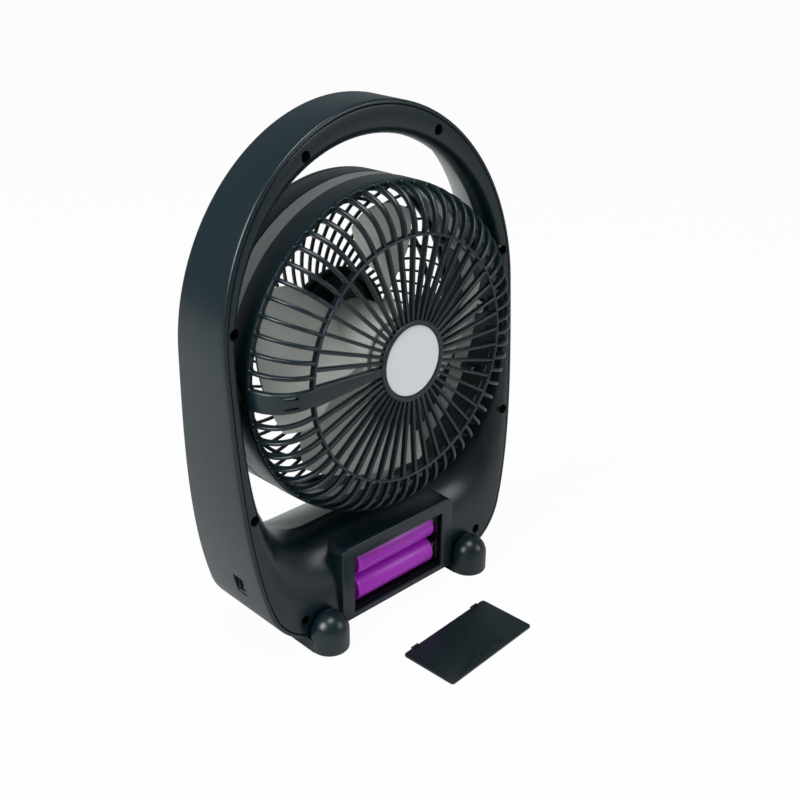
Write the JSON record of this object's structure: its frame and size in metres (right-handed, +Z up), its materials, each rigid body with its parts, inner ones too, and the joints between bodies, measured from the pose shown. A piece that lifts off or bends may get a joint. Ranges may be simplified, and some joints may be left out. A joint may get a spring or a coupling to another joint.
{
  "type": "rechargeable_fan",
  "caption": "Rechargeable table fan: round tilting head in a deep dark loop frame with a handle, battery bay open, its cover lying behind",
  "frame": {"origin": "bottom centre of the whole box, battery door on the table included", "axes": "+Z up, -Y the front that blows, +X the side with the output port"},
  "size_m": [0.2208, 0.1424, 0.3071],
  "materials": {
    "frame_plastic": "satin",
    "pale_plastic": "satin",
    "pad_rubber": "matte",
    "screw_steel": "satin",
    "black_plastic": "satin",
    "contact_metal": "satin",
    "cell_wrap": "gloss",
    "door_plastic": "satin",
    "board": "satin",
    "white_plastic": "satin",
    "window_plastic": "gloss",
    "label_white": "satin",
    "blade_plastic": "satin"
  },
  "bodies": {
    "frame": {"outer_band": "frame_plastic", "rear_cover": "frame_plastic", "front_fascia": "pale_plastic", "foot_left": "frame_plastic", "foot_right": "frame_plastic", "foot_pads": "pad_rubber", "rear_screws": "screw_steel", "foot_screws": "screw_steel", "battery_tray": "black_plastic", "contact_springs": "screw_steel", "contact_plates": "contact_metal", "main_board": "board", "usb_socket": "contact_metal", "charge_socket": "contact_metal", "key_switches": "black_plastic", "light_board": "white_plastic", "light_window": "window_plastic", "indicator_pipes": "window_plastic", "pivot_bushes": "white_plastic", "friction_washers": "pad_rubber", "frame_lead": "black_plastic"},
    "head": {"rear_grille": "frame_plastic", "rear_label_plate": "label_white", "middle_ring": "pale_plastic", "front_ring": "frame_plastic", "front_grille": "frame_plastic", "front_cap": "frame_plastic", "motor_cover": "blade_plastic", "motor_can": "contact_metal", "motor_bearings": "screw_steel", "motor_screws": "screw_steel", "grille_screws": "screw_steel", "head_lead": "black_plastic", "pivot_pins": "screw_steel"},
    "fan_rotor": {"rotor": "screw_steel", "fan_blades": "blade_plastic", "blade_nut": "screw_steel"},
    "battery_door_body": {"battery_door": "door_plastic"},
    "upper_cell_body": {"upper_cell": "cell_wrap"},
    "lower_cell_body": {"lower_cell": "cell_wrap"},
    "speed_button_body": {"speed_button": "pale_plastic"},
    "light_button_body": {"light_button": "pale_plastic"}
  },
  "joints": [
    {"name": "head_tilt", "type": "hinge", "parent": "frame", "child": "head", "pos_m": [0, -0.03319, 0.167], "axis": [-1, 0, 0], "range_deg": [-45, 90]},
    {"name": "fan_spin", "type": "hinge", "parent": "head", "child": "fan_rotor", "pos_m": [0, -0.03319, 0.167], "axis": [0, 0.9995, 0.0314], "continuous": true},
    {"name": "door_lift", "type": "hinge", "parent": "frame", "child": "battery_door_body", "pos_m": [-0.00058, 0.00683, -0.01382], "axis": [0.9992, 0.0279, -0.0279], "range_deg": [0, 90]},
    {"name": "upper_cell_out", "type": "slide", "parent": "frame", "child": "upper_cell_body", "axis": [0, -1, 0], "range_m": [-0.035, 0]},
    {"name": "lower_cell_out", "type": "slide", "parent": "frame", "child": "lower_cell_body", "axis": [0, -1, 0], "range_m": [-0.035, 0]},
    {"name": "speed_press", "type": "slide", "parent": "frame", "child": "speed_button_body", "axis": [0, 1, 0], "range_m": [0, 0.0012], "stiffness_N_per_m": 800, "springref_m": -0.0006},
    {"name": "light_press", "type": "slide", "parent": "frame", "child": "light_button_body", "axis": [0, 1, 0], "range_m": [0, 0.0012], "stiffness_N_per_m": 800, "springref_m": -0.0006}
  ]
}
